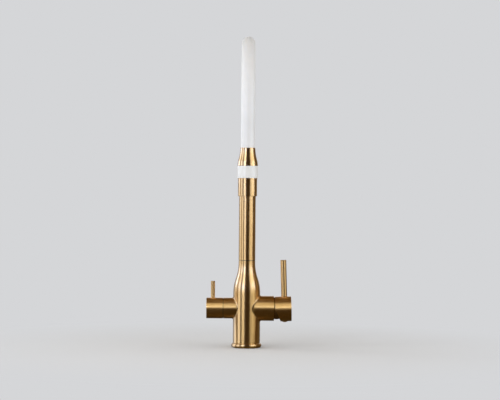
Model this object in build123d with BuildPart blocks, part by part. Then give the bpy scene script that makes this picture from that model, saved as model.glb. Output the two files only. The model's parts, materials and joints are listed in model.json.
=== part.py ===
"""Three way filtered water tap: mixed hot and cold water plus filtered drinking water.

A brass body stands on the deck with a mixer handle on its right and a filter handle on
its left. A column with a white hose turns on the body, and carries an arm whose white
ring holds the spray head.

Frame: the origin is on the tap's axis at the deck's top face, +Z is up, the spout reaches
out along -Y, and +X is the mixer's side. All sizes are in millimetres.
"""

from build123d import *
from math import cos, radians, sin, sqrt, tan
import os

# ---------------------------------------------------------------- driving dimensions

# clearances
slip = 0.05  # a piece pushed or screwed into another one of the same body
running = 0.08  # radial clearance of a turning or sliding fit
clear = 0.3  # pieces of different bodies that only pass each other
hose_fit = 0.1  # radial clearance of a hose on its nipple and in its socket
disc_film = 0.1  # water film between two ceramic discs

# base ring and body
base_r = 25.5
base_height = 8.0
base_edge_r = 3.9
body_r = 22.8
shoulder_above_branch = 5.0
shoulder_height = 50.0
neck_r = 14.15
neck_height = 4.5
neck_wall = 2.92
junction_fillet = 2.2

# deck shank, seal and inlets
shank_r = 16.5
shank_top_r = 16.0
shank_bore_r = 14.0
shank_length = 50.0
shank_engagement = 22.0
cavity_depth = 28.0
base_seal_width = 2.0
base_seal_depth = 1.6
inlet_circle_r = 8.0
inlet_thread_r = 4.5
inlet_thread_length = 12.0
waterway_r = 2.5

# both handle branches lie along X at this height above the deck
handle_z = 66.0

# mixer branch and cartridge, lengths along X
mixer_branch_set_in = 1.8  # by this much the branch is slimmer than the body that it runs into
mixer_branch_end = 46.0
cartridge_r = 17.5  # cartridges come in a standard size, whatever the branch round them
cartridge_gap = 0.1
port_circle_r = 8.0
port_r = 2.6
port_seal_wire_r = 0.9
port_seal_squeeze = 0.3
cartridge_base_thickness = 3.2
disc_thickness = 3.5
disc_rim_gap = 0.5
disc_travel = 4.2
carrier_thickness = 3.2
turret_flange_thickness = 2.6
turret_r = 11.5
turret_overhang = 5.0
housing_wall = 3.2
housing_shoulder = 2.0
housing_neck_wall = 1.6
housing_overhang = 3.0
nut_length = 6.0
pivot_beyond_branch = 4.0
pivot_pin_r = 1.5
dome_set_in = 2.6  # by this much the dome is slimmer than the branch and the cap round it
dome_wall = 1.5
dome_mouth = 8.0  # how far past the pivot the dome is open
fork_gap = 0.5
fork_prong = 1.7
slot_gap = 0.35

# mixer handle, in its own frame: out from the pivot along the cap, up along the lever
lever_lean = 1.8
lever_swing = 24.0
cap_drop = 1.0
cap_start = -1.9
cap_end = 25.3
cap_end_wall = 4.8
cap_cut_angle = 21.6
cap_cavity_gap = 0.6
cap_boss_wall = 2.6
cap_boss_start = 9.0
cap_edge_r = 0.7
spindle_side = 7.0
ball_arm = 10.0
ball_r = 2.0
lever_inset = 11.5
lever_r = 5.0
lever_length = 61.3
lever_stub_r = 3.0
lever_stub_length = 4.3
lever_edge = 0.4
plug_r = 4.9
plug_stem_length = 4.0
plug_dome_height = 1.6
cap_screw_r = 2.5
cap_screw_length = 5.0

# filter branch and valve, lengths along -X
filter_branch_r = 17.5
filter_branch_end = 39.2
joint_ring_length = 3.0
joint_ring_tail_wall = 1.0
joint_ring_tail_length = 2.0
filter_cap_gap = 0.6
filter_cap_length = 28.0
filter_cap_wall = 1.9
filter_cap_end_wall = 6.8
filter_cap_hollow = 8.3
filter_cap_edge_r = 0.6
filter_bore_floor = 12.0
filter_chamber_lead = 2.5
filter_chamber_length = 7.5
filter_chamber_gap = 1.6
headwork_r = 9.9
headwork_hex_r = 13.0
headwork_hex_length = 6.0
filter_disc_r = 8.0
filter_disc_thickness = 3.0
filter_port_r = 1.9
filter_port_place = 3.6
filter_seal_thickness = 1.6
filter_spindle_r = 3.5
filter_spindle_flange = 3.0
spindle_oring_r = 0.8
spindle_oring_places = (3.0, 6.0)
filter_lever_inset = 10.8
filter_lever_r = 3.5
filter_lever_length = 28.0
filter_stub_r = 2.0
filter_stub_length = 5.5
filter_screw_r = 2.0
filter_screw_length = 8.0

# swivel, column and ferrule
column_height = 159.5
column_wall = 1.5
washer_thickness = 0.7
washer_rim_step = 0.8
swivel_length = 42.0
swivel_floor_gap = 4.0
swivel_bore_r = 6.5
swivel_sleeve_height = 19.0
swivel_oring_wire_r = 1.2
swivel_oring_places = (8.0, 15.0)
lock_depth = 16.0
lock_groove_depth = 1.6
lock_screw_r = 2.5
lock_tip_r = 1.8
ferrule_height = 24.0
ferrule_spigot = 10.0

# filtered water line on the axis of the column
nipple_r = 3.5
nipple_bore_r = 1.8
nipple_foot_r = 5.5
nipple_foot_height = 3.0
nipple_height = 12.0
riser_bush_r = 5.2
riser_socket = 10.0
riser_oring_wire_r = 0.7
coupler_below_top = 12.0
coupler_wall = 1.2
coupler_length = 16.0

# hoses over the arch
hose_r = 11.0
hose_wall = 2.5
hose_rim = 0.75
hose_ledge = 0.6
hose_gap = 1.0
hose_seat = 18.0
hose_nipple_length = 12.0
mixed_hose_wall = 2.0
mixed_hose_seat = 12.0
filtered_hose_r = 3.0
filtered_hose_wall = 1.0
connector_wall = 1.5
reach = 210.0
arch_rise = 90.7

# dock ring and its arm
ring_drop = 23.6
ring_height = 18.9
ring_wall = 1.0
ring_boss_r = 7.0
ring_boss_length = 12.0
arm_r = 5.0
arm_engagement = 6.0
collar_wall = 2.45
collar_height = 16.0
collar_boss_r = 7.5
collar_boss_length = 12.0
collar_screw_r = 2.0

# spray head
barrel_r = 15.0
barrel_wall = 1.9
barrel_below_ring = 28.2
barrel_edge = 0.4
barrel_lip_r_step = 0.8
cone_lip_overlap = 0.85
cone_lip_draft = 0.95
cone_lip_height = 7.6
cone_height = 27.8
cone_flare_sag = 0.75
cone_spigot = 9.0
head_hose_seat = 14.0
core_length = 26.0
core_passage_r = 1.8
core_passage_circle_r = 8.0
core_passage_count = 8
core_funnel_depth = 3.2
core_funnel_r = 9.5
core_skirt_wall = 1.3
filtered_socket = 8.7
gasket_thickness = 1.6
head_oring_wire_r = 0.9
head_oring_depth = 6.5
plate_thickness = 4.0
plate_recess = 0.8
nozzle_hole_r = 0.6
outer_nozzle_count = 24
outer_nozzle_circle_r = 10.6
inner_nozzle_count = 18
inner_nozzle_circle_r = 8.2
filter_nozzle_r = 4.4
filter_nozzle_bore_r = 2.0
filter_nozzle_length = 16.0

# ---------------------------------------------------------------- heights and places

mixer_branch_r = body_r - mixer_branch_set_in
dome_r = mixer_branch_r - dome_set_in
shoulder_start_z = handle_z + mixer_branch_r + shoulder_above_branch
shoulder_end_z = shoulder_start_z + shoulder_height
parting_z = shoulder_end_z + neck_height
body_top_z = parting_z - (washer_thickness + running) / 2
column_bottom_z = parting_z + (washer_thickness + running) / 2
column_top_z = parting_z + column_height
cavity_top_z = base_height + cavity_depth

column_r = neck_r
column_bore_r = column_r - column_wall
socket_r = neck_r - neck_wall
swivel_r = socket_r - running
swivel_bottom_z = body_top_z - swivel_length
socket_floor_z = swivel_bottom_z - swivel_floor_gap
lock_z = body_top_z - lock_depth

ring_bottom_z = column_top_z - ring_drop
ring_top_z = ring_bottom_z + ring_height
arm_z = (ring_bottom_z + ring_top_z) / 2
arch_centre_z = column_top_z + arch_rise

deck = Plane.XY
mixer_plane = Plane(origin=(0, 0, handle_z), x_dir=(0, 1, 0), z_dir=(1, 0, 0))
filter_plane = Plane(origin=(0, 0, handle_z), x_dir=(0, -1, 0), z_dir=(-1, 0, 0))
mixer_axis = Axis((0, 0, handle_z), (1, 0, 0))
head_plane = Plane(origin=(0, -reach, 0))
head_profile = Plane(origin=(0, -reach, 0), x_dir=(1, 0, 0), z_dir=(0, -1, 0))
head_axis = Axis((0, -reach, 0), (0, 0, 1))


# ---------------------------------------------------------------- shared features


def tube(plane, outer, inner, start, end, mode=Mode.ADD):
    """A round bar, or a tube when inner is above 0, between two distances from a plane."""
    with BuildSketch(plane.offset(start)) as section:
        Circle(outer)
        if inner > 0:
            Circle(inner, mode=Mode.SUBTRACT)
    extrude(section.sketch, amount=end - start, mode=mode)


def bore(plane, radius, start, end):
    """A round hole between two distances from a plane."""
    tube(plane, radius, 0, start, end, mode=Mode.SUBTRACT)


def ring_seal(plane, centre_r, wire_r, distance):
    """An O-ring around a plane's normal."""
    with Locations(plane.offset(distance)):
        Torus(centre_r, wire_r)


def hex_socket(plane, radius, distance, depth):
    """A hexagon key socket that opens at a distance along the plane's normal."""
    with BuildSketch(plane.offset(distance)) as section:
        RegularPolygon(radius=radius, side_count=6)
    extrude(section.sketch, amount=-depth, mode=Mode.SUBTRACT)


def along_x(y, z):
    """A plane that looks along +X from the point (0, y, z)."""
    return Plane(origin=(0, y, z), x_dir=(0, 1, 0), z_dir=(1, 0, 0))


def upright(x, y):
    """A plane that looks up from the point (x, y) of the deck."""
    return Plane(origin=(x, y, 0))


# ---------------------------------------------------------------- mixer stack, along X

chamber_r = cartridge_r - housing_wall
fixed_disc_r = chamber_r - disc_rim_gap
moving_disc_r = fixed_disc_r - disc_travel / 2 - disc_rim_gap
turret_flange_r = chamber_r - 2 * disc_rim_gap
housing_neck_r = turret_r + running + housing_neck_wall

# the stack is worked out inwards from the branch's open end
nut_start = mixer_branch_end - nut_length
housing_step = nut_start - housing_shoulder
turret_flange_end = housing_step - clear
turret_start = turret_flange_end - turret_flange_thickness
carrier_end = turret_start - clear
carrier_start = carrier_end - carrier_thickness
moving_disc_start = carrier_start - disc_thickness
fixed_disc_end = moving_disc_start - disc_film
fixed_disc_start = fixed_disc_end - disc_thickness
cartridge_floor = fixed_disc_start - cartridge_base_thickness
mixer_bore_floor = cartridge_floor - port_seal_squeeze
pivot_x = mixer_branch_end + pivot_beyond_branch
turret_end = pivot_x + turret_overhang
housing_end = pivot_x + housing_overhang

# three ports: the mixed water's on top, cold and hot below it towards the front and back
port_angles = {"mixed": 90, "cold": 210, "hot": 330}
ports = {
    name: (port_circle_r * cos(radians(angle)), handle_z + port_circle_r * sin(radians(angle)))
    for name, angle in port_angles.items()
}
inlet_angles = {"cold": -60, "hot": 60, "filtered": 180}
inlets = {
    name: (inlet_circle_r * cos(radians(angle)), inlet_circle_r * sin(radians(angle)))
    for name, angle in inlet_angles.items()
}

# ---------------------------------------------------------------- body and base

shoulder_mid = ((body_r + neck_r) / 2, (shoulder_start_z + shoulder_end_z) / 2)
filter_chamber_r = headwork_r + filter_chamber_gap
filter_chamber_start = filter_bore_floor + filter_chamber_lead
filter_chamber_end = filter_chamber_start + filter_chamber_length
filter_out_x = -(filter_chamber_start + waterway_r)
filter_cross_z = handle_z + filter_chamber_r + 2 * waterway_r
filter_hollow_r = filter_branch_r - filter_cap_wall
joint_ring_bore_r = headwork_hex_r + clear
joint_ring_tail_r = joint_ring_bore_r + joint_ring_tail_wall
joint_ring_seat = filter_branch_end - joint_ring_tail_length
lock_plane = Plane(origin=(0, 0, lock_z), x_dir=(1, 0, 0), z_dir=(0, 1, 0))

with BuildPart() as tap_body:
    with BuildSketch(Plane.XZ):
        with BuildLine():
            foot = Line((0, base_height), (body_r, base_height))
            wall = Line(foot @ 1, (body_r, shoulder_start_z))
            lower_arc = TangentArc(wall @ 1, shoulder_mid, tangent=wall % 1)
            upper_arc = TangentArc(lower_arc @ 1, (neck_r, shoulder_end_z), tangent=lower_arc % 1)
            neck = Line(upper_arc @ 1, (neck_r, body_top_z))
            top = Line(neck @ 1, (0, body_top_z))
            Line(top @ 1, foot @ 0)
        make_face()
    revolve(axis=Axis.Z)
    tube(mixer_plane, mixer_branch_r, 0, 0, mixer_branch_end)
    tube(filter_plane, filter_branch_r, 0, 0, filter_branch_end)
    # the curved edges where each branch runs into the body are softened, as on a casting
    junctions = [
        edge
        for edge in tap_body.edges()
        if edge.geom_type not in (GeomType.LINE, GeomType.CIRCLE)
    ]
    fillet(junctions, radius=junction_fillet)
    # threaded foot cavity for the shank, with the three inlets in its ceiling
    bore(deck, shank_top_r + slip, base_height, cavity_top_z)
    for x, y in inlets.values():
        bore(upright(x, y), inlet_thread_r, cavity_top_z, cavity_top_z + inlet_thread_length)
    # swivel socket from above, and the seat of the filtered water nipple in its floor
    bore(deck, socket_r, socket_floor_z, body_top_z)
    bore(deck, nipple_foot_r + slip, socket_floor_z - nipple_foot_height, body_top_z)
    # cartridge bore, and the waterways between its floor, two inlets and the swivel socket
    bore(mixer_plane, cartridge_r + cartridge_gap, mixer_bore_floor, mixer_branch_end)
    for name in ("cold", "hot"):
        y, z = ports[name]
        x = inlets[name][0]
        bore(upright(x, y), waterway_r, cavity_top_z, z + waterway_r)
        bore(along_x(y, z), waterway_r, x, mixer_bore_floor)
    y, z = ports["mixed"]
    bore(along_x(y, z), waterway_r, inlet_circle_r, mixer_bore_floor)
    bore(upright(inlet_circle_r, y), waterway_r, z, socket_floor_z)
    # filter valve bore with its outlet chamber, and the seats of its hexagon and joint ring
    bore(filter_plane, headwork_r + slip, filter_bore_floor, filter_branch_end)
    bore(filter_plane, filter_chamber_r, filter_chamber_start, filter_chamber_end)
    hex_seat = filter_branch_end - headwork_hex_length
    bore(filter_plane, joint_ring_bore_r, hex_seat, filter_branch_end)
    bore(filter_plane, joint_ring_tail_r + slip, joint_ring_seat, filter_branch_end)
    # filtered water in from its inlet, and out over the top to the nipple
    filtered_x = -inlets["filtered"][0]
    bore(upright(-filtered_x, 0), waterway_r, cavity_top_z, handle_z + waterway_r)
    bore(filter_plane, waterway_r, filtered_x, filter_bore_floor)
    bore(upright(filter_out_x, 0), waterway_r, handle_z, filter_cross_z + waterway_r)
    bore(along_x(0, filter_cross_z), waterway_r, filter_out_x, waterway_r)
    bore(deck, nipple_bore_r, filter_cross_z, socket_floor_z)
    # tapped hole at the back for the screw that holds the swivel down
    bore(lock_plane, lock_screw_r + slip, 0, body_r)

base_flat_r = base_r - base_edge_r
shank_hole_r = shank_r + cartridge_gap
seal_centre_r = (shank_hole_r + base_flat_r) / 2
seal_inner_r = seal_centre_r - base_seal_width / 2
seal_outer_r = seal_centre_r + base_seal_width / 2
with BuildPart() as base_ring:
    tube(deck, base_r, shank_hole_r, 0, base_height)
    rims = base_ring.edges().filter_by(GeomType.CIRCLE).group_by(SortBy.RADIUS)[-1]
    fillet(rims, radius=base_edge_r)
    tube(deck, seal_outer_r, seal_inner_r, 0, base_seal_depth, mode=Mode.SUBTRACT)

with BuildPart() as base_seal:
    tube(deck, seal_outer_r - slip, seal_inner_r + slip, 0, base_seal_depth)

with BuildPart() as threaded_shank:
    tube(deck, shank_r, shank_bore_r, -shank_length, 0)
    tube(deck, shank_top_r, shank_bore_r, 0, base_height + shank_engagement)

with BuildPart() as swivel_washer:
    washer_top_z = body_top_z + washer_thickness
    tube(deck, neck_r - washer_rim_step, socket_r + slip, body_top_z, washer_top_z)

with BuildPart() as swivel_lock_screw:
    lock_tip = swivel_r - lock_groove_depth + clear
    lock_step = socket_r + clear
    tube(lock_plane, lock_tip_r, 0, lock_tip, lock_step)
    tube(lock_plane, lock_screw_r, 0, lock_step, neck_r)
    hex_socket(lock_plane, lock_screw_r / 2, neck_r, lock_screw_r / 2)

nipple_top_z = socket_floor_z + nipple_height
with BuildPart() as filter_nipple:
    tube(deck, nipple_foot_r, nipple_bore_r, socket_floor_z - nipple_foot_height, socket_floor_z)
    tube(deck, nipple_r, nipple_bore_r, socket_floor_z, nipple_top_z)

# ---------------------------------------------------------------- mixer cartridge

seal_centre = port_r + port_seal_wire_r
seal_width = 2 * port_seal_wire_r
with BuildPart() as mixer_port_seals:
    for y, z in ports.values():
        ring_seal(along_x(y, z), seal_centre, port_seal_wire_r, mixer_bore_floor + port_seal_wire_r)

with BuildPart() as mixer_cartridge_base:
    tube(mixer_plane, cartridge_r, 0, cartridge_floor, fixed_disc_start)
    for y, z in ports.values():
        bore(along_x(y, z), port_r, cartridge_floor, fixed_disc_start)
        seal_seat_r = port_r + seal_width + slip
        bore(along_x(y, z), seal_seat_r, cartridge_floor, mixer_bore_floor + seal_width)

with BuildPart() as mixer_fixed_disc:
    tube(mixer_plane, fixed_disc_r, 0, fixed_disc_start, fixed_disc_end)
    for y, z in ports.values():
        bore(along_x(y, z), port_r, fixed_disc_start, fixed_disc_end)

with BuildPart() as mixer_cartridge_housing:
    tube(mixer_plane, cartridge_r, chamber_r, fixed_disc_start, nut_start)
    tube(mixer_plane, cartridge_r, turret_r + running, housing_step, nut_start)
    tube(mixer_plane, housing_neck_r, turret_r + running, nut_start, housing_end)

with BuildPart() as mixer_cartridge_nut:
    tube(mixer_plane, cartridge_r, housing_neck_r + slip, nut_start, mixer_branch_end)
    # four notches for the pin spanner
    with BuildSketch(mixer_plane.offset(mixer_branch_end)):
        with PolarLocations(cartridge_r, 4):
            Rectangle(2 * dome_wall, 2 * dome_wall)
    extrude(amount=-dome_wall, mode=Mode.SUBTRACT)

# the dome is a shell about the pivot, so the cap keeps its distance from it as it tips
pivot = Vector(pivot_x, 0, handle_z)
with BuildPart() as mixer_dome_cover:
    with BuildSketch(Plane(origin=pivot, x_dir=(1, 0, 0), z_dir=(0, -1, 0))):
        Circle(dome_r)
        Circle(dome_r - dome_wall, mode=Mode.SUBTRACT)
        with BuildLine():
            Polyline(
                (-pivot_beyond_branch, 0),
                (dome_mouth, 0),
                (dome_mouth, 2 * dome_r),
                (-pivot_beyond_branch, 2 * dome_r),
                close=True,
            )
        make_face(mode=Mode.INTERSECT)
    revolve(axis=mixer_axis)

# the moving disc rests half its travel below the axis and slides up as the tap opens
disc_plane = along_x(0, handle_z - disc_travel / 2)
with BuildPart() as mixer_moving_disc:
    tube(disc_plane, moving_disc_r, 0, moving_disc_start, carrier_start)
    # the mixing pocket is in the face that lies on the fixed disc
    bore(disc_plane, moving_disc_r / 2, moving_disc_start, moving_disc_start + disc_thickness / 2)

lean = radians(lever_lean)
ball_z = handle_z - ball_arm * sin(lean)
fork_half_width = ball_r + fork_gap
fork_end = pivot_x - ball_arm + fork_gap
with BuildPart() as mixer_disc_carrier:
    tube(disc_plane, moving_disc_r, 0, carrier_start, carrier_end)
    with BuildSketch(along_x(0, ball_z).offset(carrier_end)):
        for side in (1, -1):
            with Locations((0, side * (fork_half_width + fork_prong / 2))):
                Rectangle(spindle_side - slot_gap, fork_prong)
    extrude(amount=fork_end - carrier_end)

# the slot leaves room for the tipping spindle outside and for the sliding fork inside
pin_plane = Plane(origin=pivot, x_dir=(1, 0, 0), z_dir=(0, 1, 0))
swing = radians(lever_swing - lever_lean)
slot_low = spindle_side / 2 / cos(swing) + turret_overhang * tan(swing) + slot_gap
slot_high = disc_travel + fork_half_width + fork_prong + slot_gap
with BuildPart() as mixer_turret:
    tube(mixer_plane, turret_flange_r, 0, turret_start, turret_flange_end)
    tube(mixer_plane, turret_r, 0, turret_flange_end, turret_end)
    with BuildSketch(mixer_plane.offset(turret_start)):
        with Locations((0, (slot_high - slot_low) / 2)):
            Rectangle(spindle_side + 2 * slot_gap, slot_high + slot_low)
    extrude(amount=turret_end - turret_start, mode=Mode.SUBTRACT)
    bore(pin_plane, pivot_pin_r + slip / 2, -turret_r, turret_r)

with BuildPart() as mixer_pivot_pin:
    pin_half_length = sqrt(turret_r**2 - pivot_pin_r**2) - clear
    tube(pin_plane, pivot_pin_r, 0, -pin_half_length, pin_half_length)

# ---------------------------------------------------------------- mixer handle

# the handle leans a little towards the column when it is closed
handle_out = Vector(cos(lean), 0, sin(lean))
handle_up = Vector(-sin(lean), 0, cos(lean))
cap_centre = pivot - handle_up * cap_drop
lever_out = cap_end - lever_inset
spindle_plane = Plane(origin=pivot, x_dir=(0, 1, 0), z_dir=handle_out)
cap_plane = Plane(origin=cap_centre, x_dir=(0, 1, 0), z_dir=handle_out)
handle_profile = Plane(origin=pivot, x_dir=handle_out, z_dir=(0, -1, 0))
lever_line = Plane(origin=cap_centre + handle_out * lever_out, x_dir=handle_out, z_dir=handle_up)
screw_line = Plane(origin=lever_line.origin, x_dir=handle_out, z_dir=-handle_up)

spindle_half = spindle_side / 2
spindle_end = cap_end - cap_end_wall
with BuildPart() as mixer_spindle:
    with BuildSketch(spindle_plane.offset(-spindle_half)):
        Rectangle(spindle_side, spindle_side)
    extrude(amount=spindle_end + spindle_half)
    tube(spindle_plane, ball_r, 0, -ball_arm, -spindle_half)
    with Locations(spindle_plane.offset(-ball_arm)):
        Sphere(ball_r)
    bore(pin_plane, pivot_pin_r + running, -spindle_side, spindle_side)

cap_r = mixer_branch_r
cavity_r = dome_r + cap_cavity_gap
cap_boss_r = spindle_half * sqrt(2) + cap_boss_wall
cut_depth = cap_r + cap_drop
cut_run = cut_depth * tan(radians(cap_cut_angle))
plug_seat = cap_r - plug_dome_height
with BuildPart() as mixer_cap:
    tube(cap_plane, cap_r, 0, cap_start, cap_end)
    fillet(mixer_cap.edges().filter_by(GeomType.CIRCLE), radius=cap_edge_r)
    # hollow: straight up to the pivot, then a half ball around it that clears the dome
    bore(spindle_plane, cavity_r, cap_start, 0)
    with Locations(spindle_plane):
        Sphere(cavity_r, mode=Mode.SUBTRACT)
    tube(spindle_plane, cap_boss_r, 0, cap_boss_start, spindle_end)
    # the lower inner edge is cut back at a slant, which lets the handle tip
    with BuildSketch(handle_profile):
        with BuildLine():
            Polyline(
                (cap_start - cap_r, 0),
                (cap_start, 0),
                (cap_start + cut_run, -cut_depth),
                (cap_start + cut_run, -2 * cut_depth),
                (cap_start - cap_r, -2 * cut_depth),
                close=True,
            )
        make_face()
    extrude(amount=2 * cap_r, both=True, mode=Mode.SUBTRACT)
    # square socket for the spindle
    with BuildSketch(spindle_plane.offset(cap_boss_start)):
        Rectangle(spindle_side + 2 * slip, spindle_side + 2 * slip)
    extrude(amount=spindle_end + slip - cap_boss_start, mode=Mode.SUBTRACT)
    # spot face and tapped hole for the lever above, clamp screw and plug holes below
    bore(lever_line, lever_r + slip, cap_r - lever_edge, 2 * cap_r)
    bore(lever_line, lever_stub_r + slip, cap_r - lever_stub_length - slip, cap_r)
    bore(screw_line, cap_screw_r + slip, 0, cap_r)
    bore(screw_line, plug_r + slip, plug_seat, 2 * cap_r)

with BuildPart() as mixer_lever:
    tube(lever_line, lever_r, 0, cap_r - lever_edge, cap_r + lever_length)
    chamfer(mixer_lever.edges().group_by(Axis.Z)[-1], length=lever_edge)
    tube(lever_line, lever_stub_r, 0, cap_r - lever_stub_length, cap_r - lever_edge)

screw_tip = spindle_half - cap_drop + slip
screw_head = screw_tip + cap_screw_length
with BuildPart() as mixer_cap_screw:
    tube(screw_line, cap_screw_r, 0, screw_tip, screw_head)
    hex_socket(screw_line, cap_screw_r / 2, screw_head, cap_screw_length / 4)

# the index plug closes the clamp screw's hole with a low dome
plug_ball_r = (plug_r**2 + plug_dome_height**2) / (2 * plug_dome_height)
with BuildPart() as mixer_cap_plug:
    with Locations(screw_line.offset(cap_r + plug_dome_height - plug_ball_r)):
        Sphere(plug_ball_r)
    with BuildSketch(screw_line.offset(cap_r)) as plug_rim:
        Circle(plug_r)
    extrude(plug_rim.sketch, amount=2 * plug_dome_height, mode=Mode.INTERSECT)
    tube(screw_line, plug_r, 0, plug_seat, cap_r)
    tube(screw_line, cap_screw_r, 0, plug_seat - plug_stem_length, plug_seat)

# ---------------------------------------------------------------- filter valve

filter_disc_start = filter_bore_floor + filter_seal_thickness
filter_disc_end = filter_disc_start + filter_disc_thickness
filter_moving_start = filter_disc_end + disc_film
filter_moving_end = filter_moving_start + filter_disc_thickness
spindle_flange_end = filter_moving_end + filter_spindle_flange
headwork_step = spindle_flange_end + clear
spindle_bore_r = filter_spindle_r + running
filter_cap_start = filter_branch_end + filter_cap_gap
filter_cap_end = filter_cap_start + filter_cap_length
filter_spindle_end = filter_cap_end - filter_cap_end_wall

with BuildPart() as filter_seat_seal:
    tube(filter_plane, filter_disc_r, waterway_r, filter_bore_floor, filter_disc_start)

with BuildPart() as filter_fixed_disc:
    tube(filter_plane, filter_disc_r, 0, filter_disc_start, filter_disc_end)
    with BuildSketch(filter_plane.offset(filter_disc_start)):
        with Locations((filter_port_place, 0), (-filter_port_place, 0)):
            Circle(filter_port_r)
    extrude(amount=filter_disc_thickness, mode=Mode.SUBTRACT)

with BuildPart() as filter_headwork:
    tube(filter_plane, headwork_r, 0, filter_disc_start, filter_branch_end)
    with BuildSketch(filter_plane.offset(hex_seat)):
        RegularPolygon(radius=headwork_hex_r, side_count=6)
    extrude(amount=headwork_hex_length)
    bore(filter_plane, filter_disc_r + clear, filter_disc_start, headwork_step)
    bore(filter_plane, spindle_bore_r, headwork_step, filter_branch_end)
    # windows in front and behind let the water out of the sleeve into the chamber
    with BuildSketch(Plane.XZ):
        with Locations((-filter_chamber_end + waterway_r, handle_z)):
            Rectangle(2 * waterway_r, 2 * waterway_r)
    extrude(amount=headwork_r, both=True, mode=Mode.SUBTRACT)

# the joint between branch and cap is closed by a ring that the cap's mouth runs over
with BuildPart() as filter_joint_ring:
    joint_ring_end = filter_branch_end + joint_ring_length
    tube(filter_plane, joint_ring_tail_r, joint_ring_bore_r, joint_ring_seat, filter_branch_end)
    tube(filter_plane, filter_hollow_r - clear, joint_ring_bore_r, filter_branch_end, joint_ring_end)

with BuildPart() as filter_moving_disc:
    tube(filter_plane, filter_disc_r, 0, filter_moving_start, filter_moving_end)
    with BuildSketch(filter_plane.offset(filter_moving_start)):
        with Locations((0, filter_port_place), (0, -filter_port_place)):
            Circle(filter_port_r)
    extrude(amount=filter_disc_thickness, mode=Mode.SUBTRACT)

oring_line_r = spindle_bore_r - slip - spindle_oring_r
groove_half = spindle_oring_r + slip
with BuildPart() as filter_spindle:
    tube(filter_plane, filter_disc_r, 0, filter_moving_end, spindle_flange_end)
    tube(filter_plane, filter_spindle_r, 0, spindle_flange_end, filter_spindle_end)
    for place in spindle_oring_places:
        start = headwork_step + place - groove_half
        end = headwork_step + place + groove_half
        groove_floor_r = oring_line_r - groove_half
        tube(filter_plane, filter_spindle_r, groove_floor_r, start, end, mode=Mode.SUBTRACT)

with BuildPart() as filter_spindle_orings:
    for place in spindle_oring_places:
        ring_seal(filter_plane, oring_line_r, spindle_oring_r, headwork_step + place)

filter_lever_x = filter_lever_inset - filter_cap_end
filter_lever_line = Plane(origin=(filter_lever_x, 0, handle_z))
filter_screw_line = Plane(origin=(filter_lever_x, 0, handle_z), x_dir=(1, 0, 0), z_dir=(0, 0, -1))
filter_hollow_end = filter_cap_start + filter_cap_hollow
with BuildPart() as filter_cap:
    tube(filter_plane, filter_branch_r, 0, filter_cap_start, filter_cap_end)
    end_rim = filter_cap.edges().filter_by(GeomType.CIRCLE).sort_by(Axis.X)[0]
    fillet(end_rim, radius=filter_cap_edge_r)
    bore(filter_plane, filter_hollow_r, filter_cap_start, filter_hollow_end)
    bore(filter_plane, filter_spindle_r + slip, filter_hollow_end, filter_spindle_end + slip)
    stub_floor = filter_branch_r - filter_stub_length - slip
    bore(filter_lever_line, filter_stub_r + slip, stub_floor, filter_branch_r)
    bore(filter_lever_line, filter_lever_r + slip, filter_branch_r - lever_edge, 2 * filter_branch_r)
    bore(filter_screw_line, filter_screw_r + slip, 0, 2 * filter_branch_r)

with BuildPart() as filter_lever:
    lever_foot = filter_branch_r - lever_edge
    tube(filter_lever_line, filter_lever_r, 0, lever_foot, filter_branch_r + filter_lever_length)
    chamfer(filter_lever.edges().group_by(Axis.Z)[-1], length=lever_edge)
    stub_start = filter_branch_r - filter_stub_length
    tube(filter_lever_line, filter_stub_r, 0, stub_start, lever_foot)

filter_screw_tip = filter_spindle_r + slip
filter_screw_head = filter_screw_tip + filter_screw_length
with BuildPart() as filter_cap_screw:
    tube(filter_screw_line, filter_screw_r, 0, filter_screw_tip, filter_screw_head)
    hex_socket(filter_screw_line, filter_screw_r / 2, filter_screw_head, filter_screw_length / 4)

# ---------------------------------------------------------------- swivel and column

swivel_oring_line_r = socket_r - slip - swivel_oring_wire_r
with BuildPart() as spout_column:
    tube(deck, column_r, column_bore_r, column_bottom_z, column_top_z)

with BuildPart() as swivel_insert:
    tube(deck, swivel_r, 0, swivel_bottom_z, column_bottom_z)
    sleeve_top_z = column_bottom_z + swivel_sleeve_height
    tube(deck, column_bore_r - slip, 0, column_bottom_z, sleeve_top_z)
    bore(deck, swivel_bore_r, swivel_bottom_z, sleeve_top_z)
    half = swivel_oring_wire_r + slip
    floor_r = swivel_oring_line_r - half
    for place in swivel_oring_places:
        z = swivel_bottom_z + place
        tube(deck, swivel_r, floor_r, z - half, z + half, mode=Mode.SUBTRACT)
    lock_half = lock_tip_r + clear
    lock_floor_r = swivel_r - lock_groove_depth
    tube(deck, swivel_r, lock_floor_r, lock_z - lock_half, lock_z + lock_half, mode=Mode.SUBTRACT)

with BuildPart() as swivel_orings:
    for place in swivel_oring_places:
        ring_seal(deck, swivel_oring_line_r, swivel_oring_wire_r, swivel_bottom_z + place)

# the filtered water's own line turns on a nipple inside the swivel
filtered_bore_r = filtered_hose_r - filtered_hose_wall
riser_step_z = nipple_top_z + clear
riser_tube_z = riser_step_z + filtered_hose_wall
bush_top_z = riser_tube_z + riser_socket
riser_oring_z = socket_floor_z + nipple_height * 2 / 3
riser_oring_line_r = nipple_r + slip + riser_oring_wire_r
with BuildPart() as riser_bush:
    tube(deck, riser_bush_r, 0, socket_floor_z + clear, bush_top_z)
    bore(deck, nipple_r + running, socket_floor_z, riser_step_z)
    bore(deck, filtered_bore_r, riser_step_z, bush_top_z)
    bore(deck, filtered_hose_r + slip, riser_tube_z, bush_top_z)
    half = riser_oring_wire_r + slip
    groove_r = riser_oring_line_r + half
    tube(deck, groove_r, nipple_r, riser_oring_z - half, riser_oring_z + half, mode=Mode.SUBTRACT)

with BuildPart() as riser_oring:
    ring_seal(deck, riser_oring_line_r, riser_oring_wire_r, riser_oring_z)

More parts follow.
